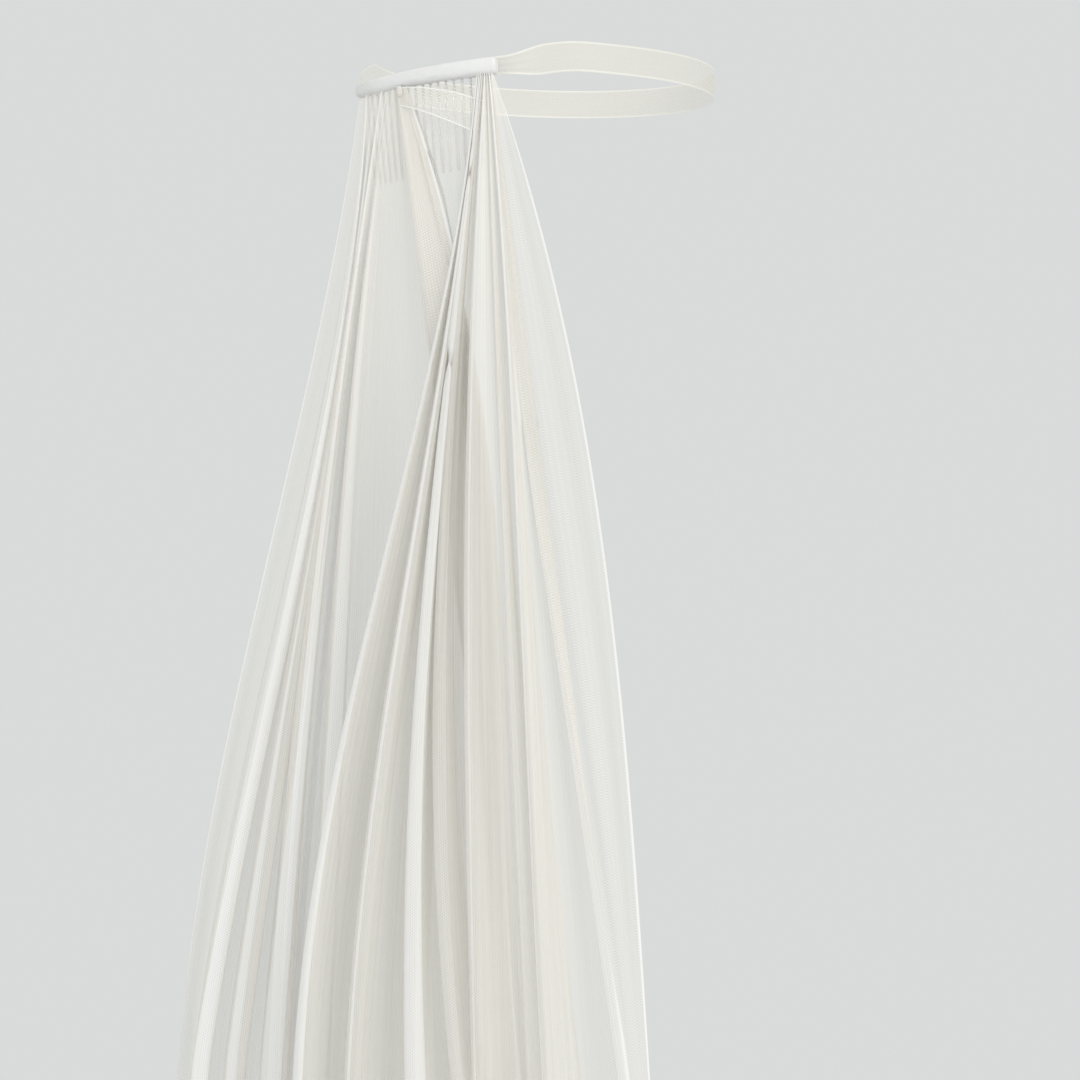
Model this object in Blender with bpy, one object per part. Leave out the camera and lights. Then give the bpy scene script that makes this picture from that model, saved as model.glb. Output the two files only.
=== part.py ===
"""Bridal veil: gathered tulle on a wrapped wire comb, held by a sheer ribbon round the head.

The wearer faces -Y and the veil falls behind, along +Y, with +Z up. The origin is on the
comb, straight behind the middle of the head. Lengths in the tables are in millimetres.
"""

import math

import bmesh
import bpy
import numpy as np

MM = 0.001

# The comb follows an arc round the back of the head and leans down to the wearer's left.
COMB_RADIUS = 113.0
COMB_RIGHT = -43.5
COMB_LEFT = 35.0
COMB_LEAN = 0.07

# Head the ribbon goes round, as half width, half length and distance of its middle from the comb.
HEAD_HALF_WIDTH = 75.0
HEAD_HALF_LENGTH = 95.0
HEAD_MIDDLE_Y = -101.0

# Fabric roll over the comb's bar, a channel open below.
WRAP_DEPTH = 7.0
WRAP_HEIGHT = 8.6
WRAP_CORNER = 2.4
WRAP_INSIDE = (-2.35, 2.0)
WRAP_ROOF = 3.2
WRAP_CHAMFER = 1.0
WRAP_END = 1.6
WRAP_STEPS = 19

# How far inward of the roll's end each ring lies, and its share of the full section.
WRAP_DRAWN_IN = ((0.0, 0.72), (0.5, 0.88), (1.4, 0.97))
WRAP_FULL_FROM = 3.0

# Wire comb.
BAR_OFFSET = -0.6
BAR_HEIGHT = 1.4
BAR_RADIUS = 1.2
BAR_END = 0.8
BAR_STEPS = 25
BAR_SIDES = 8
TEETH = 18
TOOTH_SIDES = 7
TOOTH_PITCH = 4.25
TOOTH_RADIUS = 0.85
TOOTH_TIP_RADIUS = 0.65
TOOTH_TIP_Z = -45.5
TOOTH_OFFSET = -1.15
TOOTH_CURL = 5.5
TOOTH_STRAIGHT = 0.12
TOOTH_CURL_POWER = 1.2

# How far down the tooth each ring lies, as a share of its length, and its share of the radius.
TOOTH_RINGS = ((0.0, 1.0), (0.16, 1.0), (0.32, 1.0), (0.5, 1.0), (0.68, 1.0), (0.86, 1.0),
               (0.97, 1.0), (0.99, 0.75), (1.0, 0.35))

# Sheer ribbon.
RIBBON_WIDTH = 14.0
RIBBON_WALL = 1.0
RIBBON_HEIGHT = 10.0
RIBBON_AT_COMB = 1.5
RIBBON_GAP = 0.3

# Where the ribbon passes behind the roll's end and past it, as distances inward of that end.
RIBBON_STATIONS = (12.0, 6.0, 0.0, -5.0)

# Turns round the head, in degrees from the comb, through which the ribbon's line runs.
RIBBON_TURNS = range(54, 307, 14)
RIBBON_STEPS = 4

# Tulle, as one wall. Each fold turns over a short crest, and the legs between the crests
# leave them in eased curves. The rows are levels in SEEN lengths below the comb, closer
# together where the folds fan out.
VEIL_WALL = 1.0
VEIL_TOP = -4.9
SEEN = 460.0
CREST_HALF = 0.85
CREST_SHARE = 0.3
LEG_STEPS = 3
LEG_EASE = 0.3
ROWS = (0, 0.012, 0.026, 0.044, 0.068, 0.095, 0.125, 0.16, 0.2, 0.25, 0.3, 0.36, 0.43, 0.51,
        0.6, 0.7, 0.8, 0.9, 1, 1.15, 1.33, 1.53, 1.74, 1.95, 2.16)

# One row a fold, from the wearer's right edge to the left. "comb" is the place along the
# comb and "tuck" how far out of its middle line. "spread" and "out" are the sideways place
# and the depth of the fold SEEN millimetres lower, and "high" and "low" how far it bulges
# sideways at a third and at two thirds of that drop.
FOLDS = (
    # comb, tuck, spread, out, high, low
    (-43.5, 1.6, -142, 5, -17, -8),
    (-42.0, 1.9, -110, 20, -12, -6),
    (-40.6, 1.7, -126, -4, -2, -4),
    (-39.2, 1.9, -88, 14, -4, 0),
    (-37.8, 1.7, -77, -6, -3, 0),
    (-36.4, 1.9, -58, 22, -4, 0),
    (-35.0, 1.7, -45, -5, -5, 0),
    (-33.6, 1.9, -27, 21, -7, 0),
    (-32.2, 1.7, -12, -5, -7, 0),
    (-30.8, 1.9, 8, 22, -9, 0),
    (-29.4, 1.7, 22, -4, -9, 0),
    (-27.8, 1.9, 42, 22, -9, 3),
    (-25.0, 1.2, 36, -3, -9, 3),
    (0.5, 0.8, -44, -21, -8, 0),
    (4.0, 0.7, -46, -34, -8, 0),
    (8.0, 0.8, 66, -31, 5, 0),
    (11.0, 1.3, 50, -3, 7, 0),
    (14.0, 0.9, 82, -16, 3, 0),
    (17.0, 1.6, 64, 9, 3, 0),
    (20.0, 0.9, 106, -8, -1, 2),
    (23.2, 1.6, 90, 14, -2, 1),
    (26.0, 0.9, 124, -3, -4, 5),
    (28.8, 1.8, 111, 18, -5, 7),
    (31.7, 0.9, 138, -1, -5, 8),
    (35.0, 1.2, 142, 6, -5, 10),
)


def clear_scene():
    for item in list(bpy.data.objects):
        bpy.data.objects.remove(item, do_unlink=True)


def material(name, colour, roughness, alpha):
    made = bpy.data.materials.new(name)
    made.use_nodes = True
    shader = made.node_tree.nodes["Principled BSDF"]
    shader.inputs["Base Color"].default_value = (*colour, 1.0)
    shader.inputs["Roughness"].default_value = roughness
    shader.inputs["Alpha"].default_value = alpha
    return made


def object_from(name, mesh_maker, look):
    """A named object of the mesh that mesh_maker fills, in metres."""
    bm = bmesh.new()
    mesh_maker(bm)
    bmesh.ops.scale(bm, vec=(MM, MM, MM), verts=bm.verts)
    bmesh.ops.recalc_face_normals(bm, faces=bm.faces)
    mesh = bpy.data.meshes.new(name)
    bm.to_mesh(mesh)
    bm.free()
    made = bpy.data.objects.new(name, mesh)
    bpy.context.collection.objects.link(made)
    if look:
        made.data.materials.append(look)
    return made


def on_comb(along, out, up):
    """The point this far along the comb's arc, out from its middle line and up from it."""
    angle = along / COMB_RADIUS
    radius = COMB_RADIUS + out
    x = radius * math.sin(angle)
    y = radius * math.cos(angle) - COMB_RADIUS
    return np.array((x, y, up - COMB_LEAN * x))


def add_rings(bm, rings):
    """A closed tube through rings of points, with a flat face on each end."""
    made = [[bm.verts.new(point) for point in ring] for ring in rings]
    count = len(made[0])
    for before, after in zip(made, made[1:]):
        for i in range(count):
            j = (i + 1) % count
            bm.faces.new((before[i], before[j], after[j], after[i]))
    bm.faces.new(made[0])
    bm.faces.new(made[-1][::-1])


def rounded_section(width, height, corner, share):
    """Points (out, up) round a rounded rectangle, drawn in to this share of its size."""
    points = []
    for turn, side in enumerate(((1, 1), (-1, 1), (-1, -1), (1, -1))):
        quarter = turn * math.pi / 2
        middle = (side[0] * (width / 2 - corner), side[1] * (height / 2 - corner))
        for step in range(4):
            angle = quarter + step * math.pi / 6
            points.append((
                share * (middle[0] + corner * math.cos(angle)),
                share * (middle[1] + corner * math.sin(angle)),
            ))
    return points


def wrap_body(bm):
    """The roll, with its ends drawn in softly."""
    right = COMB_RIGHT - WRAP_END
    left = COMB_LEFT + WRAP_END
    full = np.linspace(right + WRAP_FULL_FROM, left - WRAP_FULL_FROM, WRAP_STEPS)
    stations = [(right + inward, share) for inward, share in WRAP_DRAWN_IN]
    stations += [(along, 1.0) for along in full]
    stations += [(left - inward, share) for inward, share in reversed(WRAP_DRAWN_IN)]
    rings = []
    for along, share in stations:
        section = rounded_section(WRAP_DEPTH, WRAP_HEIGHT, WRAP_CORNER, share)
        rings.append([on_comb(along, out, up) for out, up in section])
    add_rings(bm, rings)


def wrap_channel(bm):
    """What is cut out of the roll for the bar and the teeth."""
    rings = []
    low = -WRAP_HEIGHT
    for along in np.linspace(COMB_RIGHT, COMB_LEFT, WRAP_STEPS):
        corners = (
            (WRAP_INSIDE[0], low),
            (WRAP_INSIDE[1], low),
            (WRAP_INSIDE[1], WRAP_ROOF - WRAP_CHAMFER),
            (WRAP_INSIDE[1] - WRAP_CHAMFER, WRAP_ROOF),
            (WRAP_INSIDE[0] + WRAP_CHAMFER, WRAP_ROOF),
            (WRAP_INSIDE[0], WRAP_ROOF - WRAP_CHAMFER),
        )
        rings.append([on_comb(along, out, up) for out, up in corners])
    add_rings(bm, rings)


def bar_body(bm):
    rings = []
    for along in np.linspace(COMB_RIGHT + BAR_END, COMB_LEFT - BAR_END, BAR_STEPS):
        ring = []
        for side in range(BAR_SIDES):
            angle = (side + 0.5) * 2 * math.pi / BAR_SIDES
            ring.append(on_comb(
                along,
                BAR_OFFSET + BAR_RADIUS * math.cos(angle),
                BAR_HEIGHT + BAR_RADIUS * math.sin(angle),
            ))
        rings.append(ring)
    add_rings(bm, rings)


def tooth_body(bm, along):
    """One tooth, from inside the bar down to a rounded tip, curling toward the head."""
    top = BAR_HEIGHT + BAR_RADIUS / 4
    rings = []
    for down, share in TOOTH_RINGS:
        radius = share * (TOOTH_RADIUS + (TOOTH_TIP_RADIUS - TOOTH_RADIUS) * down)
        out = TOOTH_OFFSET - TOOTH_CURL * max(0.0, down - TOOTH_STRAIGHT) ** TOOTH_CURL_POWER
        up = top + (TOOTH_TIP_Z - top) * down
        ring = []
        for side in range(TOOTH_SIDES):
            angle = side * 2 * math.pi / TOOTH_SIDES
            aside = radius * math.cos(angle)
            ring.append(on_comb(along + aside, out + radius * math.sin(angle), up))
        rings.append(ring)
    add_rings(bm, rings)


def teeth_bodies(bm):
    comb_middle = (COMB_RIGHT + COMB_LEFT) / 2
    for number in range(TEETH):
        tooth_body(bm, comb_middle + (number - (TEETH - 1) / 2) * TOOTH_PITCH)


def boolean(target, other, operation):
    """Cuts or joins another object into this one, and removes the other."""
    modifier = target.modifiers.new(operation, "BOOLEAN")
    modifier.operation = operation
    modifier.solver = "EXACT"
    modifier.object = other
    graph = bpy.context.evaluated_depsgraph_get()
    result = bpy.data.meshes.new_from_object(target.evaluated_get(graph))
    target.modifiers.clear()
    target.data = result
    bpy.data.objects.remove(other, do_unlink=True)


def curve_through(points, per_span):
    """A smooth curve through the points, evenly shared between each two of them."""
    points = [np.asarray(point, float) for point in points]
    points = [2 * points[0] - points[1], *points, 2 * points[-1] - points[-2]]
    curve = []
    for before, start, end, after in zip(points, points[1:], points[2:], points[3:]):
        knots = [0.0]
        for a, b in ((before, start), (start, end), (end, after)):
            knots.append(knots[-1] + math.sqrt(np.linalg.norm(b - a)))
        for step in range(per_span):
            at = knots[1] + (knots[2] - knots[1]) * step / per_span
            first = mix(before, start, knots[0], knots[1], at)
            middle = mix(start, end, knots[1], knots[2], at)
            last = mix(end, after, knots[2], knots[3], at)
            low = mix(first, middle, knots[0], knots[2], at)
            high = mix(middle, last, knots[1], knots[3], at)
            curve.append(mix(low, high, knots[1], knots[2], at))
    curve.append(points[-2])
    return np.array(curve)


def mix(a, b, start, end, at):
    return a + (b - a) * (at - start) / (end - start)


def back_of(x):
    """Depth of the veil's middle at this sideways place, where it hangs behind the shoulders."""
    return 12.0 - 12.0 * (x / 145.0) ** 2


def fold_point(fold, drop):
    """Where a fold is at this drop, in SEEN lengths below the comb."""
    comb, tuck, spread, out, high, low = fold
    start = on_comb(comb, tuck, VEIL_TOP)
    if drop <= 1:
        x = start[0] + (spread - start[0]) * drop
        x += 6.75 * drop * (1 - drop) * (high * (1 - drop) + low * drop)
        swing = drop ** 1.15 * (1.3 - 0.3 * drop)
        y = start[1] + (back_of(spread) + out - start[1]) * swing
        z = VEIL_TOP + (start[2] - VEIL_TOP) * (1 - drop) - SEEN * drop
    else:
        more = drop - 1
        x = spread * (1 + 0.3 * more)
        y = back_of(spread) + out * (1 + 0.35 * more) + 10.0 * more
        z = VEIL_TOP - SEEN * drop
    return np.array((x, y, z))


def section_through(points):
    """One level of the veil: each fold turned over two points, and eased legs between them."""
    legs = [after - before for before, after in zip(points, points[1:])]
    lengths = [np.linalg.norm(leg) for leg in legs]
    units = [leg / length for leg, length in zip(legs, lengths)]
    ways = []
    section = []
    for k, point in enumerate(points):
        before = max(k - 1, 0)
        after = min(k, len(legs) - 1)
        way = units[before] + units[after]
        way /= np.linalg.norm(way)
        half = min(CREST_HALF, CREST_SHARE * lengths[before], CREST_SHARE * lengths[after])
        ways.append(way)
        section += [point - half * way, point + half * way]
    eased = [section[0]]
    for k in range(len(points) - 1):
        start, end = section[2 * k + 1], section[2 * k + 2]
        length = np.linalg.norm(end - start)
        eased.append(start)
        for step in range(1, LEG_STEPS):
            at = step / LEG_STEPS
            pull = LEG_EASE * length * at * (1 - at)
            eased.append(start + (end - start) * at + pull * ((1 - at) * ways[k] - at * ways[k + 1]))
        eased.append(end)
    eased.append(section[-1])
    return eased


def veil_wall(bm):
    """The gathered tulle, as a wall either side of the surface through its folds."""
    middle = np.array([section_through([fold_point(fold, drop) for fold in FOLDS])
                       for drop in ROWS])
    across = np.gradient(middle, axis=1)
    down = np.gradient(middle, axis=0)
    normal = np.cross(across, down)
    normal /= np.linalg.norm(normal, axis=2, keepdims=True)
    rows, columns = middle.shape[:2]
    outer = []
    inner = []
    for side, sheet in ((0.5, outer), (-0.5, inner)):
        points = middle + side * VEIL_WALL * normal
        sheet += [[bm.verts.new(point) for point in row] for row in points]
    for i in range(rows - 1):
        for j in range(columns - 1):
            bm.faces.new((outer[i][j], outer[i + 1][j], outer[i + 1][j + 1], outer[i][j + 1]))
            bm.faces.new((inner[i][j], inner[i][j + 1], inner[i + 1][j + 1], inner[i + 1][j]))
    for j in range(columns - 1):
        bm.faces.new((outer[0][j], outer[0][j + 1], inner[0][j + 1], inner[0][j]))
        bm.faces.new((outer[-1][j], inner[-1][j], inner[-1][j + 1], outer[-1][j + 1]))
    for i in range(rows - 1):
        bm.faces.new((outer[i][0], inner[i][0], inner[i + 1][0], outer[i + 1][0]))
        bm.faces.new((outer[i][-1], outer[i + 1][-1], inner[i + 1][-1], inner[i][-1]))


def ribbon_path():
    """The ribbon's middle line, from the wrap's right end round the head to its left end."""
    inside = -WRAP_DEPTH / 2 - RIBBON_GAP - RIBBON_WALL / 2
    right = COMB_RIGHT - WRAP_END
    left = COMB_LEFT + WRAP_END
    points = [on_comb(right + inward, inside, RIBBON_AT_COMB) for inward in RIBBON_STATIONS]
    for turn in np.radians(RIBBON_TURNS):
        x = -HEAD_HALF_WIDTH * math.sin(turn)
        y = HEAD_MIDDLE_Y + HEAD_HALF_LENGTH * math.cos(turn)
        points.append(np.array((x, y, RIBBON_HEIGHT)))
    points += [on_comb(left - inward, inside, RIBBON_AT_COMB) for inward in reversed(RIBBON_STATIONS)]
    return curve_through(points, RIBBON_STEPS)


def ribbon_body(bm):
    path = ribbon_path()
    along = np.gradient(path, axis=0)
    rings = []
    for point, way in zip(path, along):
        outward = np.array((way[1], -way[0], 0.0))
        outward /= np.linalg.norm(outward)
        upward = np.array((0.0, 0.0, 1.0))
        ring = []
        for side, up in ((1, -1), (1, 1), (-1, 1), (-1, -1)):
            ring.append(point + outward * side * RIBBON_WALL / 2 + upward * up * RIBBON_WIDTH / 2)
        rings.append(ring)
    add_rings(bm, rings)


def build():
    clear_scene()
    tulle = material("ivory tulle", (0.86, 0.85, 0.80), 0.8, 0.6)
    satin = material("white wrap", (0.88, 0.88, 0.85), 0.6, 1.0)
    wire = material("silver wire", (0.80, 0.80, 0.80), 0.3, 1.0)
    sheer = material("sheer ribbon", (0.88, 0.86, 0.78), 0.5, 0.5)

    object_from("veil", veil_wall, tulle)

    wrap = object_from("comb_wrap", wrap_body, satin)
    channel = object_from("channel", wrap_channel, None)
    boolean(wrap, channel, "DIFFERENCE")

    comb = object_from("wire_comb", bar_body, wire)
    teeth = object_from("teeth", teeth_bodies, wire)
    boolean(comb, teeth, "UNION")

    object_from("head_ribbon", ribbon_body, sheer)


build()
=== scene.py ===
# %% [markdown]
# # A bridal veil of gathered tulle
#
# The veil is one width of soft net, gathered on a wire comb under a white fabric roll, with
# a sheer ribbon that holds it round the head. The wearer faces -Y and the net falls behind.
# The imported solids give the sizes, and each step here dresses one of them.

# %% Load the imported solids
import math

import bmesh
import bpy
import numpy as np
from mathutils import Matrix, Vector, noise


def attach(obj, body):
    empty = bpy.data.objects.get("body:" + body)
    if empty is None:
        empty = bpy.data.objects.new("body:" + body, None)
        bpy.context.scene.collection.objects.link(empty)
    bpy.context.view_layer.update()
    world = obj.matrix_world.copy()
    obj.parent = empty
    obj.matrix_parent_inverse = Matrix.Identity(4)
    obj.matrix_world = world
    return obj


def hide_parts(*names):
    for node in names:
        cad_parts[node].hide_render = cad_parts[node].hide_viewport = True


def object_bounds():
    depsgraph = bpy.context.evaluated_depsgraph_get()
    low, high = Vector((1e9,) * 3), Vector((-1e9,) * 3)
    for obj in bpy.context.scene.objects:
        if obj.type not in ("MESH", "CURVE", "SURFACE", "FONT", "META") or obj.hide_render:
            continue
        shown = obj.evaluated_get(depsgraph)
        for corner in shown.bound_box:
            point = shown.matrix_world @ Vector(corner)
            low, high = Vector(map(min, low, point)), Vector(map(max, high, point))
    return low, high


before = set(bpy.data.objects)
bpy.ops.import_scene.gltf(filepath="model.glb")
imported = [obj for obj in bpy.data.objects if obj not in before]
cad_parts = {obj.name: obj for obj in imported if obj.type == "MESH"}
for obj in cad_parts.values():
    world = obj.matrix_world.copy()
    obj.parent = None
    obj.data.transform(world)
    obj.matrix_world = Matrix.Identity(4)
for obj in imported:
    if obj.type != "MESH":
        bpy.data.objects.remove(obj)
cad_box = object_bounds()
MM = 0.001
print("nodes:", sorted(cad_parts))

# %% [markdown]
# ## The camera
#
# The picture is taken level, from behind the wearer's right shoulder, with a long lens that
# keeps upright lines upright. A camera that turned down would make the folds lean together,
# so it stays level and its height sets how much of the length shows.

# %% Place the camera
CAMERA_TURN = math.radians(38)
CAMERA_AWAY = 1.6
CAMERA_HEIGHT = -0.2133
CAMERA_LENS = 109.7
HEAD_MIDDLE = Vector((0.0019, -0.0995, CAMERA_HEIGHT))

away = Vector((-math.sin(CAMERA_TURN), math.cos(CAMERA_TURN), 0))
camera_data = bpy.data.cameras.new("camera")
camera_data.lens = CAMERA_LENS
camera_data.sensor_width = 36
camera = bpy.data.objects.new("camera", camera_data)
camera.location = HEAD_MIDDLE + away * CAMERA_AWAY
camera.rotation_euler = away.to_track_quat("Z", "Y").to_euler()
bpy.context.collection.objects.link(camera)
bpy.context.scene.camera = camera
print("camera at", [round(c, 3) for c in camera.location])

# %% [markdown]
# ## Pale room and soft light
#
# Net shows its folds by how many layers lie behind each other, so hard light isn't needed.
# A pale room lights it all round, and two wide lamps give the folds a lit and a shaded side.
# Light has to pass through many thin layers, so the number of see-through surfaces that a
# ray may cross is raised.

# %% Set up the room
ROOM_COLOUR = (0.69, 0.71, 0.70, 1)
ROOM_LIGHT = 0.64
FLOOR_RADIUS = 2.4
FLOOR_DROP = 0.02

scene = bpy.context.scene
scene.cycles.transparent_max_bounces = 28
scene.cycles.max_bounces = 3
scene.cycles.diffuse_bounces = 2
scene.view_settings.view_transform = "Standard"

world = bpy.data.worlds.new("room")
world.use_nodes = True
scene.world = world
room = world.node_tree.nodes["Background"]
shown = world.node_tree.nodes.new("ShaderNodeBackground")
path = world.node_tree.nodes.new("ShaderNodeLightPath")
either = world.node_tree.nodes.new("ShaderNodeMixShader")
room.inputs["Color"].default_value = (1, 1, 1, 1)
room.inputs["Strength"].default_value = ROOM_LIGHT
shown.inputs["Color"].default_value = ROOM_COLOUR
world.node_tree.links.new(path.outputs["Is Camera Ray"], either.inputs[0])
world.node_tree.links.new(room.outputs[0], either.inputs[1])
world.node_tree.links.new(shown.outputs[0], either.inputs[2])
world.node_tree.links.new(either.outputs[0], world.node_tree.nodes["World Output"].inputs[0])


def lamp(name, place, target, size, power, colour):
    """A square softbox at a place, turned to face the target."""
    data = bpy.data.lights.new(name, "AREA")
    data.size = size
    data.energy = power
    data.color = colour
    made = bpy.data.objects.new(name, data)
    made.location = place
    made.rotation_euler = (Vector(place) - Vector(target)).to_track_quat("Z", "Y").to_euler()
    bpy.context.collection.objects.link(made)


veil_middle = (0, 0, -0.35)
lamp("key", (-2.0, 0.6, 0.9), veil_middle, 1.4, 26, (1.0, 0.99, 0.97))
lamp("fill", (0.8, 1.8, 0.4), veil_middle, 1.4, 9, (0.97, 0.98, 1.0))

floor_mesh = bmesh.new()
bmesh.ops.create_circle(floor_mesh, cap_ends=True, segments=96, radius=FLOOR_RADIUS)
bmesh.ops.translate(floor_mesh, verts=floor_mesh.verts, vec=(0, 0, cad_box[0][2] - FLOOR_DROP))
floor_data = bpy.data.meshes.new("floor")
floor_mesh.to_mesh(floor_data)
floor_mesh.free()
floor = bpy.data.objects.new("floor", floor_data)
bpy.context.collection.objects.link(floor)
print("floor at", round(cad_box[0][2] - FLOOR_DROP, 3))

# %% [markdown]
# ## Writing materials as sums
#
# Patterns such as a net are sums and products of coordinates. A small class wraps a node's
# socket so that Python's own operators add the Math nodes, which reads like the formula.

# %% A socket that can be added and multiplied


class Value:
    """A number, colour or vector that varies over a surface."""

    def __init__(self, paint, socket):
        self.paint = paint
        self.socket = socket

    def math(self, operation, *others, **settings):
        inputs = dict(enumerate([self, *others]))
        return self.paint.value("ShaderNodeMath", {"operation": operation, **settings}, inputs)

    def __add__(self, other):
        return self.math("ADD", other)

    __radd__ = __add__

    def __sub__(self, other):
        return self.math("SUBTRACT", other)

    def __rsub__(self, other):
        return self * -1 + other

    def __mul__(self, other):
        return self.math("MULTIPLY", other)

    __rmul__ = __mul__

    def __pow__(self, other):
        return self.math("POWER", other)

    def __abs__(self):
        return self.math("ABSOLUTE")

    def sine(self):
        return self.math("SINE")

    def clamped(self):
        return self.math("ADD", 0.0, use_clamp=True)

    def below(self, limit, soft):
        """1 where the value is under the limit and 0 over it, with a soft step this wide."""
        return ((limit - self) * (1 / soft) + 0.5).clamped()


class Paint:
    """A material under construction."""

    def __init__(self, name, **fixed):
        self.material = bpy.data.materials.new(name)
        self.material.use_nodes = True
        self.tree = self.material.node_tree
        self.shader = self.tree.nodes["Principled BSDF"]
        for socket, amount in fixed.items():
            self.shader.inputs[socket.replace("_", " ")].default_value = amount

    def node(self, kind, settings=None, inputs=None):
        made = self.tree.nodes.new(kind)
        for name, setting in (settings or {}).items():
            setattr(made, name, setting)
        for name, amount in (inputs or {}).items():
            if isinstance(amount, Value):
                self.tree.links.new(amount.socket, made.inputs[name])
            else:
                made.inputs[name].default_value = amount
        return made

    def value(self, kind, settings=None, inputs=None, output=0):
        return Value(self, self.node(kind, settings, inputs).outputs[output])

    def attribute(self, name):
        return self.value("ShaderNodeAttribute", {"attribute_name": name}, output="Fac")

    def place(self):
        return self.value("ShaderNodeTexCoord", output="Object")

    def cloth(self):
        """The cloth's own flat coordinates, across and down, in metres."""
        return self.value("ShaderNodeUVMap", {"uv_map": "cloth"})

    def stretched(self, vector, scales):
        settings = {"operation": "MULTIPLY"}
        return self.value("ShaderNodeVectorMath", settings, {0: vector, 1: scales})

    def along(self, vector, way):
        settings = {"operation": "DOT_PRODUCT"}
        return self.value("ShaderNodeVectorMath", settings, {0: vector, 1: way}, "Value")

    def noise(self, vector, scale, detail=2.0):
        return self.value("ShaderNodeTexNoise", {}, {"Vector": vector, "Scale": scale, "Detail": detail})

    def blend(self, share, first, second):
        settings = {"data_type": "RGBA"}
        return self.value("ShaderNodeMix", settings, {0: share, 6: first, 7: second}, output=2)

    def feed(self, **links):
        for socket, value in links.items():
            self.tree.links.new(value.socket, self.shader.inputs[socket.replace("_", " ")])

    def bump(self, height, strength, distance):
        inputs = {"Height": height, "Strength": strength, "Distance": distance}
        self.feed(Normal=self.value("ShaderNodeBump", {}, inputs))


def colour(red, green, blue):
    """A colour from the 0 to 255 values that a paint chart gives."""
    return (*((part / 255) ** 2.2 for part in (red, green, blue)), 1.0)


pale = Paint("pale floor", Roughness=0.9)
mottle = pale.noise(pale.place(), 3.0)
pale.feed(Base_Color=pale.blend(mottle, colour(222, 224, 224), colour(226, 227, 227)))
floor_data.materials.append(pale.material)

# %% [markdown]
# ## How the folds of the net hang
#
# Each fold of the net is a line from the comb to the hem. A table holds them from the
# wearer's right edge to the left: where a fold starts along the comb, how far it stands out
# there, where it has got to sideways and in depth at the lower edge of the picture, and how
# far it bulges sideways on the way. Most folds crowd into the comb's right end. A looser
# bunch comes from its left end, and a narrow fan of folds starts at a knot between them.

# %% The folds
COMB_RADIUS = 113.0
COMB_RIGHT = -43.5
COMB_LEFT = 35.0
COMB_LEAN = 0.07
VEIL_TOP = -3.0
VEIL_HEM = -997.0
SEEN = 460.0

# "ripples" is how many soft waves the cloth makes on its way to the next fold. "lap" is how
# many millimetres of cloth fade out along the fold at the lower edge of the picture, where
# it lies nearly doubled, and "strength" how plainly that shows. "turned" is the width of a
# sharp strip where the cloth is turned over on itself, and below nought there is none.
FOLDS = np.array((
    # comb, tuck, spread, out, high, low, ripples, lap, strength, turned
    (-43.5, 1.6, -142, 5, -17, -8, 2, 5, 0.0, -3),
    (-43.0, 2.2, -134, 11, 8, 0, 1, 12, 0.3, 3.6),
    (-42.5, 1.4, -118, -5, -1, -2, 2, 30, 0.6, -3),
    (-42.0, 2.3, -96, 15, -3, 0, 1, 22, 0.9, 1),
    (-41.5, 1.3, -104, 0, 1, 2, 2, 10, 0.2, -3),
    (-41.0, 2.4, -84, 11, 1, 0, 2, 12, 0.15, -3),
    (-40.5, 1.2, -88, 3, 2, -2, 2, 8, 0.1, -3),
    (-40.0, 2.4, -65, 22, 5, 2, 1, 9, 0.35, 1),
    (-39.5, 1.2, -58, -6, 8, 9, 2, 20, 0.7, 1.2),
    (-39.0, 2.5, -54, 20, 8, 12, 1, 14, 0.5, -3),
    (-38.6, 1.2, -49, -5, 9, 15, 2, 16, 0.4, 1),
    (-38.2, 2.5, -28, 21, 4, 8, 2, 26, 0.5, 6.5),
    (-37.8, 1.2, -12, -5, 2, 4, 1, 30, 0.6, -3),
    (-37.4, 2.5, 8, 22, -3, 7, 2, 14, 0.6, 1.2),
    (-37.0, 1.2, 22, -4, -6, 8, 1, 10, 0.3, -3),
    (-36.5, 2.4, 42, 22, -8, 12, 2, 34, 0.9, 4.5),
    (-36.0, 0.8, 36, -3, -9, 8, 2, 5, 0.1, -3),
    (2.6, 1.2, -52, -26, -22, 0, 1, 5, 0.8, 1),
    (6.8, 2.2, -42, -31, -4, 0, 1, 5, 0.8, 1),
    (4.6, 0.8, -50, -38, -20, 0, 3, 5, 0.3, -3),
    (9.6, 1.3, 66, -33, 5, 0, 2, 6, 0.4, -3),
    (12.0, 1.5, 50, -3, 7, 2, 2, 9, 0.3, -3),
    (14.6, 0.8, 82, -16, 3, 2, 2, 5, 0.8, 1.5),
    (17.4, 1.6, 65, 9, 4, 6, 2, 12, 0.4, 1.5),
    (20.2, 0.8, 106, -8, -3, 2, 2, 8, 0.2, -3),
    (23.2, 1.6, 90, 14, -5, 1, 2, 14, 0.4, -3),
    (26.0, 0.8, 124, -3, -7, 3, 1, 8, 0.2, -3),
    (28.8, 1.7, 111, 18, -12, 2, 2, 26, 0.9, 5),
    (31.7, 0.8, 138, -1, -8, 7, 1, 6, 0.2, -3),
    (35.0, 1.2, 142, 6, -5, 10, 0, 5, 0.0, -3),
))
COMB, TUCK, SPREAD, OUT, HIGH, LOW, RIPPLES, LAP, STRENGTH, TURNED = FOLDS.T
WEB_LEG = 16
print(len(FOLDS), "folds")


def on_comb(along, out, up):
    """The point this far along the comb's arc, out from its middle line and up from it."""
    angle = np.asarray(along) / COMB_RADIUS
    radius = COMB_RADIUS + out
    x = radius * np.sin(angle)
    y = radius * np.cos(angle) - COMB_RADIUS
    return np.stack((x, y, up - COMB_LEAN * x), axis=-1)


def back_of(x):
    """Depth of the veil's middle at this sideways place."""
    return 12.0 - 12.0 * (x / 145.0) ** 2


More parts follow.
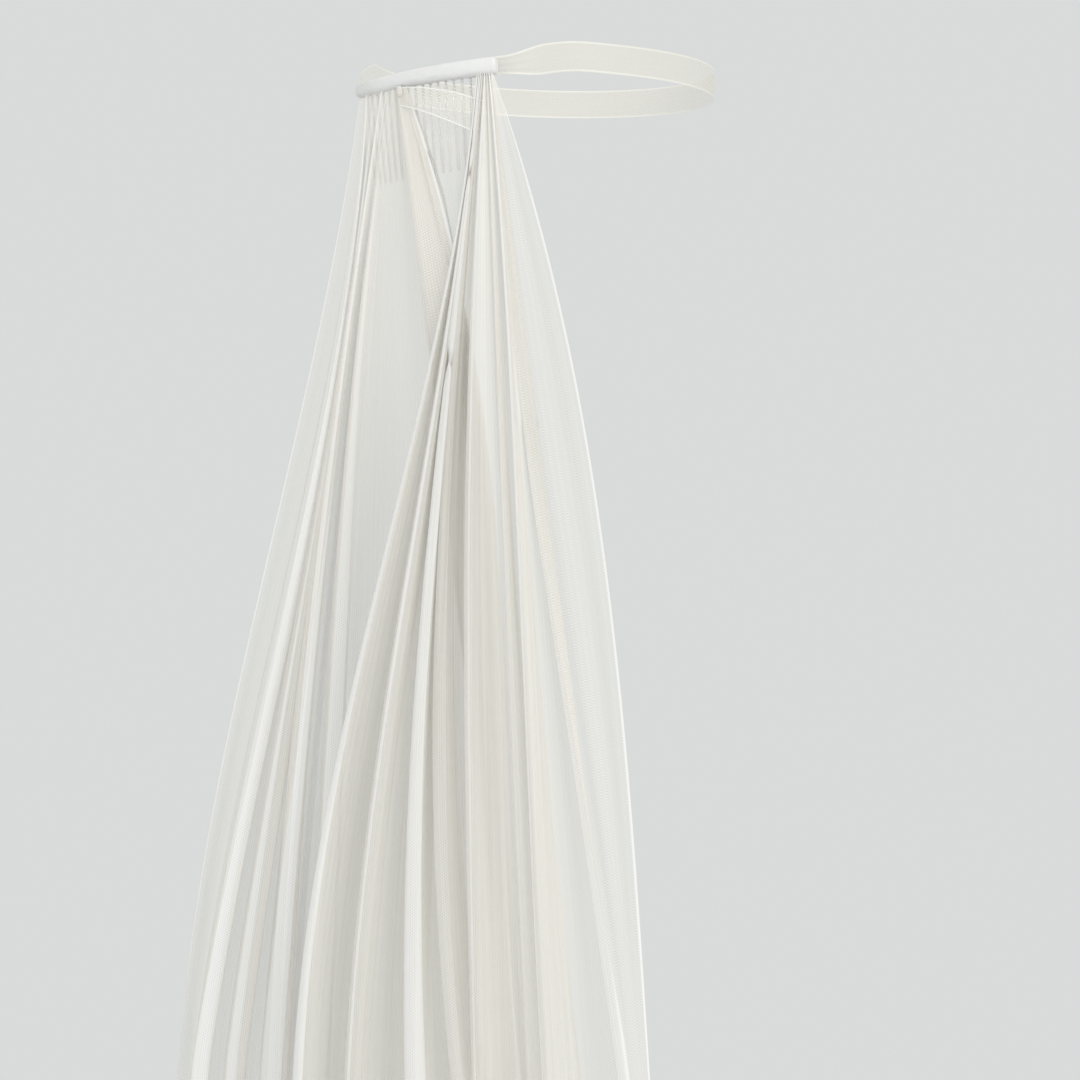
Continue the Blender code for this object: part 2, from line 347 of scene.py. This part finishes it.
def folds_at(drop):
    """Where every fold is at this drop, in SEEN lengths below the comb."""
    start = on_comb(COMB, TUCK, VEIL_TOP)
    within = min(drop, 1.0)
    more = max(drop - 1.0, 0.0)
    x = start[:, 0] + (SPREAD - start[:, 0]) * within
    x = x + 6.75 * within * (1 - within) * (HIGH * (1 - within) + LOW * within)
    x = x + 0.3 * SPREAD * more
    swing = within ** 1.15 * (1.3 - 0.3 * within)
    y = start[:, 1] + (back_of(SPREAD) + OUT - start[:, 1]) * swing
    y = y + 0.35 * OUT * more + 10.0 * more
    lean = (start[:, 2] - VEIL_TOP) * (1 - within)
    return np.stack((x, y, np.full_like(x, VEIL_TOP - SEEN * drop) + lean), axis=-1)


# %% [markdown]
# ## Turning fold lines into a sheet
#
# A flat grid has the cloth's own across and down directions, so it is made first and its
# points are then moved to where the folds put them. Each fold turns over a narrow crest, and
# the cloth runs in eased curves from one crest to the next, with a few soft waves. How far a
# point lies from the nearest crest, and how tightly the cloth is gathered there, are kept
# with the points for the material.

# %% Shape the sheet
LEG_COLUMNS = 20
SHEET_ROWS = 150
CREST_SHARE = 0.16
CREST_MOST = 3.0
CREST_RISE = 0.35
LEG_PULL = 0.5
RIPPLE_SHARE = 0.035
RIPPLE_MOST = 1.1
LAP_START = 0.15
LAP_SHARE = 0.34
TURN_START = 0.35
TURN_SHARE = 0.3
GATHER_POWER = 0.35
GATHER_MOST = 2.2
WEB_MOST = 0.8
FAN_PACKED = 1.6


def across(a, b, at, pull, first, last):
    """A curve from a to b that leaves along one direction and arrives along another."""
    curve = (2 * at**3 - 3 * at**2 + 1) * a + (3 * at**2 - 2 * at**3) * b
    return curve + pull * ((at**3 - 2 * at**2 + at) * first + (at**3 - at**2) * last)


def web_sag(at, drop):
    """How far the single layer between the bunches hangs below the roll."""
    line = 21.5 - 13.0 * at**0.9
    held = np.clip(np.minimum(at / 0.1, (1 - at) / 0.07), 0, 1)
    return line * held * held * (3 - 2 * held) * max(0.0, 1 - drop / 0.3)


nearest_fold = np.rint(np.arange(len(FOLDS) * (LEG_COLUMNS + 1) - LEG_COLUMNS) / (LEG_COLUMNS + 1))
nearest_fold = nearest_fold.astype(int)


def section_at(drop):
    """The cloth's line at one level, each point's distance from its fold in laps, and how
    far inside the fold's turned strip it lies."""
    points = folds_at(drop)
    legs = np.diff(points, axis=0)
    lengths = np.linalg.norm(legs, axis=1)
    units = legs / lengths[:, None]
    ways = np.vstack((units[:1], units[:-1] + units[1:], units[-1:]))
    ways /= np.linalg.norm(ways, axis=1, keepdims=True)
    outward = np.vstack((units[:1] * 0, units[:-1] - units[1:], units[-1:] * 0))
    nearest = np.minimum(np.append(lengths, lengths[-1]), np.insert(lengths, 0, lengths[0]))
    half = np.minimum(CREST_SHARE * nearest, CREST_MOST)[:, None]
    before = points - half * ways
    after = points + half * ways
    crests = points + 0.5 * CREST_RISE * half * outward
    at = np.linspace(0, 1, LEG_COLUMNS)[:, None]
    line = []
    for k, length in enumerate(lengths):
        pull = LEG_PULL * np.linalg.norm(before[k + 1] - after[k])
        curve = across(after[k], before[k + 1], at, pull, ways[k], ways[k + 1])
        phase = 2 * math.pi * RIPPLES[k] * at[:, 0] + 1.7 * k + 1.3 * math.sin(2.1 * drop + k)
        height = min(RIPPLE_SHARE * length, RIPPLE_MOST) * np.sin(math.pi * at[:, 0]) * np.sin(phase)
        sideways = np.array((-units[k][1], units[k][0], 0))
        curve = curve + height[:, None] * sideways
        if k == WEB_LEG:
            curve[:, 2] -= web_sag(at[:, 0], drop)
        line += [crests[k:k + 1], curve]
    line = np.vstack(line + [crests[-1:]])
    run = np.insert(np.cumsum(np.linalg.norm(np.diff(line, axis=0), axis=1)), 0, 0)
    wander = 1 + 0.3 * np.sin(5.2 * drop + 1.9 * np.arange(len(points)))
    lap = LAP * wander * (LAP_START + (1 - LAP_START) * min(drop, 1.2))
    lap = np.minimum(lap, LAP_SHARE * nearest)[nearest_fold]
    turned = TURNED * wander * (TURN_START + (1 - TURN_START) * min(drop, 1.2))
    turned = np.minimum(turned, TURN_SHARE * nearest)[nearest_fold]
    away = np.abs(run - run[nearest_fold * (LEG_COLUMNS + 1)])
    return line, away / lap, turned - away


hem_level = (VEIL_TOP - VEIL_HEM) / SEEN
levels = hem_level * np.linspace(0, 1, SHEET_ROWS) ** 1.35
sections = [section_at(drop) for drop in levels]
sheet_points, fold_gap, turned_in = (np.stack(grids) for grids in zip(*sections))
columns = sheet_points.shape[1]
steps = np.linalg.norm(np.diff(sheet_points, axis=1), axis=2)
print("sheet", SHEET_ROWS, "x", columns, "width at the hem", round(steps[-1].sum()), "mm")

cloth_run = np.insert(np.cumsum(steps[-1]), 0, 0.0)
packed = np.clip(steps[-1] / np.maximum(steps, 1e-6), 1, 60) ** GATHER_POWER
packed = np.clip(np.pad(packed, ((0, 0), (1, 0)), mode="edge"), 1, GATHER_MOST)
web = slice(WEB_LEG * (LEG_COLUMNS + 1) + 1, (WEB_LEG + 1) * (LEG_COLUMNS + 1))
packed[:, web] = np.minimum(packed[:, web], WEB_MOST)
fan = slice(web.stop, web.stop + 2 * (LEG_COLUMNS + 1))
packed[:, fan] += FAN_PACKED * np.clip(1 - levels / 0.45, 0, 1)[:, None]
for _ in range(6):
    packed[:, 1:-1] = (packed[:, :-2] + 2 * packed[:, 1:-1] + packed[:, 2:]) / 4
faded = 0.8 + 0.2 * np.sin(7.0 * levels[:, None] + 2.3 * nearest_fold)
strength = STRENGTH[nearest_fold] * faded
edge_gap = np.minimum(cloth_run, cloth_run[-1] - cloth_run)
edge_gap = np.repeat(edge_gap[None, :], SHEET_ROWS, axis=0)

# %% [markdown]
# ## From points to cloth
#
# One helper makes every sheet in this file: it takes a flat grid, moves its points, and
# writes the flat coordinates and the extra values that the material needs.

# %% A helper for sheets


def sheet_object(name, points, flat, values, flip):
    """A grid made into cloth at these points, with its flat coordinates as its UV map."""
    rows, cols = points.shape[:2]
    bm = bmesh.new()
    bmesh.ops.create_grid(bm, x_segments=cols - 1, y_segments=rows - 1, size=0.5)
    cloth = bm.loops.layers.uv.new("cloth")
    layers = [(bm.verts.layers.float.new(key), grid) for key, grid in values.items()]
    for vert in bm.verts:
        column = round((vert.co.x + 0.5) * (cols - 1))
        row = round((0.5 - vert.co.y) * (rows - 1))
        vert.co = points[row, column] * MM
        for layer, grid in layers:
            vert[layer] = grid[row, column]
        vert.index = row * cols + column
    for face in bm.faces:
        for loop in face.loops:
            row, column = divmod(loop.vert.index, cols)
            loop[cloth].uv = flat[row, column] * MM
        face.smooth = True
    if flip:
        bmesh.ops.reverse_faces(bm, faces=bm.faces)
    mesh = bpy.data.meshes.new(name)
    bm.to_mesh(mesh)
    bm.free()
    made = bpy.data.objects.new(name, mesh)
    bpy.context.collection.objects.link(made)
    return made


def cloth_area(piece):
    return sum(face.area for face in piece.data.polygons)


down = np.repeat(-sheet_points[:, :1, 2], columns, axis=1)
flat_places = np.stack((np.repeat(cloth_run[None, :], SHEET_ROWS, axis=0), down), axis=-1)
veil = sheet_object("tulle_veil", sheet_points, flat_places,
                    {"fold": fold_gap, "strength": strength, "turned": turned_in,
                     "packed": packed, "edge": edge_gap}, True)
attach(veil, "root")
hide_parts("veil")

# %% [markdown]
# ## Tulle
#
# Soft tulle is a net of six-sided holes about a millimetre across, in ivory thread. From a
# few steps it reads as a veil of thread over what lies behind, denser where it is gathered,
# doubled at a fold or cut. Three families of fine lines at sixty degrees draw the threads.
# Net that is packed n times as tightly lets through what n layers let through, so what shows
# through one layer is raised to that power.

# %% Make the tulle
NET_HOLE = 0.0011
THREAD = 0.028
SHOWS_THROUGH = 0.67


def tulle_paint(name, shows_through):
    """Net with fine streaks along its length, and its cover as the material's Alpha."""
    net = Paint(name, Roughness=0.7, Sheen_Weight=0.3, Sheen_Roughness=0.4)
    net.shader.inputs["Specular IOR Level"].default_value = 0.25
    cloth = net.cloth()
    threads = 0.0
    for turn in (0, 60, 120):
        way = (math.cos(math.radians(turn)), math.sin(math.radians(turn)), 0)
        threads = (net.along(cloth, way) * (2 * math.pi / NET_HOLE)).sine() + threads
    streaks = net.noise(net.stretched(cloth, (260, 5, 1)), 1.0, 1.0)
    through = threads * -THREAD + (0.5 - streaks) * 0.24 + shows_through
    return net, streaks, through


tulle, streaks, through = tulle_paint("ivory tulle", SHOWS_THROUGH)
fold = tulle.attribute("fold")
lapped = (1 - fold).clamped()
turned = (tulle.attribute("turned") * 3.0 + 0.5).clamped()
doubled = lapped * tulle.attribute("strength") + turned * 1.5
raw_edge = tulle.attribute("edge").below(0.9, 0.4)
layers = tulle.attribute("packed") + doubled + raw_edge * 3.0
cover = (1 - through ** layers).clamped()
tulle.feed(Alpha=cover)
# Painted highlight: the doubled strips along the folds and the cut edges are given a whiter colour than the
# ivory thread, as if they caught more light. Their extra cover is real.
painted_fold_and_edge_highlight = (doubled * 0.5 + raw_edge).clamped()
tulle.feed(Base_Color=tulle.blend(painted_fold_and_edge_highlight, colour(245, 242, 233), colour(251, 251, 248)))
tulle.bump(streaks, 0.25, 0.0008)
veil.data.materials.append(tulle.material)

# %% [markdown]
# ## The band of net at the knot
#
# Under the roll a narrow band of net sags from the knot to the right bunch, across the
# comb's teeth. Its two cut edges show as fine lines of denser net with a painted highlight.

# %% Hang the band
BAND_COLUMNS = 60
BAND_ROWS = 12
BAND_START = 5.0
BAND_REACH = 44.5

t = np.linspace(0, 1, BAND_COLUMNS)[None, :]
s = np.linspace(0, 1, BAND_ROWS)[:, None]
upper = -3.9 - 1.2 * t - 8.2 * t**2
lower = -12.5 - 6.5 * t - 10.6 * t**1.5
band_up = upper + (lower - upper) * s
band_along = BAND_START - BAND_REACH * t + 0 * s
waves = 0.45 * np.sin(9 * s + 5 * t) * np.sin(math.pi * s) * t
band_out = 2.7 + 0.7 * np.sin(math.pi * t) - 0.8 * t + waves
band_points = on_comb(band_along, band_out, band_up)
band_points[..., 2] += COMB_LEAN * band_points[..., 0] * 0.9
band_height = lower - upper
band_edge = np.minimum(s, 1 - s) * -band_height
band_flat = np.stack((BAND_REACH * t + 0 * s, -band_up), axis=-1)
band_packed = 0.75 + 2.2 * (1 - t) ** 8 + 0 * s
far = np.full(band_edge.shape, 9.0)
band = sheet_object("knot_band", band_points, band_flat,
                    {"fold": far, "strength": far * 0, "turned": -far,
                     "packed": band_packed, "edge": band_edge * 1.6}, True)
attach(band, "root")
band.data.materials.append(tulle.material)
print("band area", round(cloth_area(band) * 1e6), "square millimetres")

# %% [markdown]
# ## The knot
#
# Where the fan of folds starts, the net is drawn together and stitched into a small puckered
# lump under the roll. A ball is squashed, and its surface is pushed in and out in pleats that
# run from its top to its foot.

# %% Tie the knot
KNOT_SIZE = (1.6, 0.9, 2.6)
KNOT_PLEATS = 9

bm = bmesh.new()
bmesh.ops.create_icosphere(bm, subdivisions=5, radius=1.0)
knot_middle = on_comb(4.2, 2.9, -5.6)
for vert in bm.verts:
    turn = math.atan2(vert.co.y, vert.co.x)
    pleat = 0.12 * math.sin(KNOT_PLEATS * turn + 2.5 * vert.co.z) * (1 - abs(vert.co.z)) ** 0.5
    lumps = 0.1 * noise.noise(vert.co * 1.9)
    vert.co *= 1 + pleat + lumps
    vert.co = Vector([knot_middle[i] + KNOT_SIZE[i] * vert.co[i] for i in range(3)]) * MM
for face in bm.faces:
    face.smooth = True
knot_mesh = bpy.data.meshes.new("gather_knot")
bm.to_mesh(knot_mesh)
bm.free()
knot = bpy.data.objects.new("gather_knot", knot_mesh)
bpy.context.collection.objects.link(knot)
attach(knot, "root")

packed_net = Paint("packed tulle", Roughness=0.85, Sheen_Weight=0.4, Alpha=0.85)
fuzz = packed_net.noise(packed_net.place(), 1400.0, 3.0)
packed_net.feed(Base_Color=packed_net.blend(fuzz, colour(234, 231, 219), colour(247, 245, 238)))
packed_net.bump(fuzz, 0.6, 0.0004)
knot_mesh.materials.append(packed_net.material)
print("knot triangles", len(knot_mesh.polygons))

# %% [markdown]
# ## The fabric roll
#
# The comb's bar is hidden in a strip of soft white fabric that is folded over it and sewn
# along its length. One oval section is swept along the comb's arc, then drawn in at the ends
# and given the small dents and diagonal pulls that sewn fabric has.

# %% Roll the fabric
ROLL_DEPTH = 6.6
ROLL_END = 1.6
ROLL_SECTION = 40
ROLL_STEPS = 150
ROLL_SQUARE = 0.78

right_end = COMB_RIGHT - ROLL_END
left_end = COMB_LEFT + ROLL_END
bm = bmesh.new()
bmesh.ops.create_circle(bm, cap_ends=False, segments=ROLL_SECTION, radius=1.0)
bmesh.ops.rotate(bm, verts=bm.verts, cent=(0, 0, 0), matrix=Matrix.Rotation(math.pi / 2, 3, "X"))
ring = list(bm.edges)
end_ring = bmesh.ops.extrude_edge_only(bm, edges=ring)["geom"]
far_verts = [item for item in end_ring if isinstance(item, bmesh.types.BMVert)]
bmesh.ops.translate(bm, verts=far_verts, vec=(0, 1, 0))
bridges = [edge for edge in bm.edges if abs(edge.verts[0].co.y - edge.verts[1].co.y) > 0.5]
bmesh.ops.subdivide_edges(bm, edges=bridges, cuts=ROLL_STEPS, use_grid_fill=True)
bmesh.ops.holes_fill(bm, edges=[edge for edge in bm.edges if edge.is_boundary], sides=0)
caps = [face for face in bm.faces if len(face.verts) > 4]
bmesh.ops.inset_individual(bm, faces=caps, thickness=0.35)

along_layer = bm.verts.layers.float.new("along")
around_layer = bm.verts.layers.float.new("around")
for vert in bm.verts:
    share = vert.co.y
    along = right_end + (left_end - right_end) * share
    turn = math.atan2(vert.co.z, vert.co.x)
    radius = math.hypot(vert.co.x, vert.co.z)
    from_end = min(along - right_end, left_end - along)
    drawn = 1 - 0.22 * max(0.0, 1 - from_end / 1.6) ** 2
    height = 8.3 - 1.6 * share**1.5
    pulls = 0.16 * noise.noise(Vector((along / 7, 2.1 * math.cos(turn) + along / 15, 2.1 * math.sin(turn))))
    pulls += 0.07 * noise.noise(Vector((along / 1.9, 3.0 * math.cos(turn), 3.0 * math.sin(turn))))
    out = math.copysign(abs(math.cos(turn)) ** ROLL_SQUARE, math.cos(turn))
    up = math.copysign(abs(math.sin(turn)) ** ROLL_SQUARE, math.sin(turn))
    scale = radius * drawn * (1 + pulls * 0.35)
    place = on_comb(along, out * ROLL_DEPTH / 2 * scale, up * height / 2 * scale)
    vert[along_layer] = along
    vert[around_layer] = turn
    vert.co = Vector(place) * MM
bmesh.ops.recalc_face_normals(bm, faces=bm.faces)
for face in bm.faces:
    face.smooth = True
roll_mesh = bpy.data.meshes.new("fabric_roll")
bm.to_mesh(roll_mesh)
bm.free()
roll = bpy.data.objects.new("fabric_roll", roll_mesh)
bpy.context.collection.objects.link(roll)
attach(roll, "root")
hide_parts("comb_wrap")
print("roll faces", len(roll_mesh.polygons))

# %% [markdown]
# ## The roll's cloth
#
# The roll is soft white cloth with a fine weave. It is a little thinner toward the wearer's
# left, where painted shade greys it. A row of small stitches is drawn in along its upper edge.

# %% Weave the roll's cloth
STITCH = 2.1
STITCH_TURN = 1.15

wrap = Paint("white wrap", Roughness=0.7, Sheen_Weight=0.35, Sheen_Roughness=0.35)
along = wrap.attribute("along")
around = wrap.attribute("around")
weave = (along * (2 * math.pi / 0.55)).sine() * (around * 38).sine()
stitch_row = abs(around - STITCH_TURN).below(0.07, 0.05)
stitch = stitch_row * (along * (2 * math.pi / STITCH)).sine().below(0.1, 0.5)
cloudy = wrap.noise(wrap.place(), 220.0)
# Painted shade greys the roll toward the wearer's left end; the cloudy tone and the darker stitches are the
# cloth's own.
left_end_shade = (along * 0.03 - 0.5).clamped()
tone_stitches_and_painted_shade = (0.3 * cloudy + left_end_shade + 0.05 + stitch * 0.5).clamped()
wrap.feed(Base_Color=wrap.blend(tone_stitches_and_painted_shade, colour(238, 239, 238), colour(216, 217, 213)))
wrap.bump(weave * 0.12 + cloudy * 0.6 - stitch * 1.0, 0.5, 0.0005)
roll_mesh.materials.append(wrap.material)

# %% [markdown]
# ## The wire comb
#
# Each tooth is one wire bent into a long loop. Its two ends are twisted together under the
# bar, and the loop curls toward the head. A curve with a round bevel draws a wire directly,
# so every tooth is one line of points.

# %% Bend the teeth
TEETH = 18
TOOTH_PITCH = 4.25
TOOTH_TIP = -45.2
TWIST_END = -11.5
TWIST_TURNS = 4
WIRE_RADIUS = 0.36
LOOP_HALF = 0.52
BAR_UP = 1.4
BAR_OUT = -0.6


def tooth_offset(up):
    down = (1.7 - up) / (1.7 - TOOTH_TIP)
    return -1.15 - 5.5 * max(0.0, down - 0.12) ** 1.2


def tooth_side(along, side):
    """One wire of a tooth, from the bar down to where its loop turns."""
    line = []
    for up in np.linspace(0.8, TWIST_END, TWIST_TURNS * 10):
        turn = 2 * math.pi * TWIST_TURNS * (0.8 - up) / (0.8 - TWIST_END)
        reach = 0.4 * side
        line.append(on_comb(along + reach * math.cos(turn), tooth_offset(up) + reach * math.sin(turn), up))
    for up in np.linspace(TWIST_END - 2, TOOTH_TIP + 1.2, 9):
        line.append(on_comb(along + side * LOOP_HALF, tooth_offset(up), up))
    return line


teeth = bpy.data.curves.new("comb_teeth", "CURVE")
teeth.dimensions = "3D"
teeth.bevel_depth = WIRE_RADIUS * MM
teeth.bevel_resolution = 1
teeth.use_fill_caps = True


def add_wire(points, thickness):
    spline = teeth.splines.new("POLY")
    spline.points.add(len(points) - 1)
    for spot, point in zip(spline.points, points):
        spot.co = (*(float(part) * MM for part in point), 1)
        spot.radius = thickness
    spline.use_smooth = True


comb_middle = (COMB_RIGHT + COMB_LEFT) / 2
for number in range(TEETH):
    along = comb_middle + (number - (TEETH - 1) / 2) * TOOTH_PITCH
    loop = []
    for turn in np.radians((30, 60, 90, 120, 150)):
        up = TOOTH_TIP + 1.2 - 0.9 * math.sin(turn)
        loop.append(on_comb(along + LOOP_HALF * math.cos(turn), tooth_offset(up), up))
    add_wire(tooth_side(along, 1) + loop + tooth_side(along, -1)[::-1], 1.0)
bar = [on_comb(along, BAR_OUT, BAR_UP) for along in np.linspace(COMB_RIGHT + 1, COMB_LEFT - 1, 40)]
add_wire(bar, 3.2)
drawing = bpy.data.objects.new("wire_drawing", teeth)
bpy.context.collection.objects.link(drawing)
graph = bpy.context.evaluated_depsgraph_get()
comb_mesh = bpy.data.meshes.new_from_object(drawing.evaluated_get(graph))
bpy.data.objects.remove(drawing)
comb = bpy.data.objects.new("comb_teeth", comb_mesh)
bpy.context.collection.objects.link(comb)
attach(comb, "root")
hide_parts("wire_comb")

wire = Paint("silver wire", Metallic=0.55)
drawn = wire.noise(wire.stretched(wire.place(), (1200, 1200, 120)), 1.0)
wire.feed(Roughness=drawn * 0.25 + 0.2)
wire.feed(Base_Color=wire.blend(drawn, colour(240, 240, 238), colour(253, 253, 250)))
comb_mesh.materials.append(wire.material)
print(len(teeth.splines), "wires,", len(comb_mesh.polygons), "faces")

# %% [markdown]
# ## The ribbon
#
# A sheer organza ribbon runs from one end of the comb round the head to the other. It is
# pinched where it is sewn in behind the roll and opens to its full width a finger's breadth
# further on.

# %% Run the ribbon round
RIBBON_WIDTH = 14.0
RIBBON_PINCH = 8.4
RIBBON_ROWS = 15
HEAD_HALF_WIDTH = 75.0
HEAD_HALF_LENGTH = 95.0
HEAD_MIDDLE_Y = -101.0

inside = -3.5 - 0.8
inward = (12.0, 6.0, 0.0, -5.0)
stations = [on_comb(right_end + step, inside, 0.9) for step in inward]
for turn in np.radians(np.arange(54, 307, 14)):
    x = -HEAD_HALF_WIDTH * math.sin(turn)
    y = HEAD_MIDDLE_Y + HEAD_HALF_LENGTH * math.cos(turn)
    stations.append(np.array((x, y, 10.0)))
stations += [on_comb(left_end - step, inside, 0.9) for step in reversed(inward)]
stations = np.array(stations)
knots = np.insert(np.cumsum(np.linalg.norm(np.diff(stations, axis=0), axis=1)), 0, 0)
slopes = np.gradient(stations, knots, axis=0)
ribbon_line = []
for k in range(len(stations) - 1):
    for share in np.linspace(0, 1, 13)[:-1]:
        pull = knots[k + 1] - knots[k]
        ribbon_line.append(across(stations[k], stations[k + 1], share, pull, slopes[k], slopes[k + 1]))
ribbon_line = np.array(ribbon_line + [stations[-1]])
run = np.insert(np.cumsum(np.linalg.norm(np.diff(ribbon_line, axis=0), axis=1)), 0, 0)
ribbon_length = run[-1]
from_end = np.minimum(run, ribbon_length - run)
opened = np.clip((from_end - 12) / 22, 0, 1)
width = RIBBON_PINCH + (RIBBON_WIDTH - RIBBON_PINCH) * opened * opened * (3 - 2 * opened)
ways = np.gradient(ribbon_line, axis=0)
outward = np.stack((ways[:, 1], -ways[:, 0], 0 * ways[:, 0]), axis=-1)
outward /= np.linalg.norm(outward, axis=1, keepdims=True)
s = np.linspace(0.5, -0.5, RIBBON_ROWS)[:, None]
gathers = 0.35 * np.sin(s * 20) * (1 - opened) + 0.25 * np.sin(run / 23 + 4 * s) * opened
ribbon_points = ribbon_line[None] + gathers[..., None] * outward[None]
ribbon_points[..., 2] += s * width[None]
ribbon_flat = np.stack((run[None] + 0 * s, s * RIBBON_WIDTH + 0 * run[None]), axis=-1)
ribbon_edge = (0.5 - abs(s)) * width[None]
ribbon = sheet_object("head_ribbon_sheet", ribbon_points, ribbon_flat, {"edge": ribbon_edge}, True)
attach(ribbon, "root")
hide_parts("head_ribbon")
print("ribbon", round(ribbon_length), "mm long")

organza = Paint("sheer organza", Roughness=0.42, Sheen_Weight=0.3)
flat = organza.cloth()
lengthwise = (organza.along(flat, (0, 1, 0)) * (2 * math.pi / 0.0009)).sine()
crosswise = (organza.along(flat, (1, 0, 0)) * (2 * math.pi / 0.0009)).sine()
selvedge = organza.attribute("edge").below(0.9, 0.5)
uneven = organza.noise(organza.stretched(flat, (30, 400, 1)), 1.0)
sheer = 0.34 + lengthwise * 0.05 + crosswise * 0.03 + selvedge * 0.3 + (uneven - 0.5) * 0.14
organza.feed(Alpha=sheer.clamped())
organza.feed(Base_Color=organza.blend(selvedge, colour(238, 233, 214), colour(247, 244, 233)))
organza.bump(lengthwise + crosswise, 0.2, 0.0003)
ribbon.data.materials.append(organza.material)

# %% Finish
print("veil scene built")
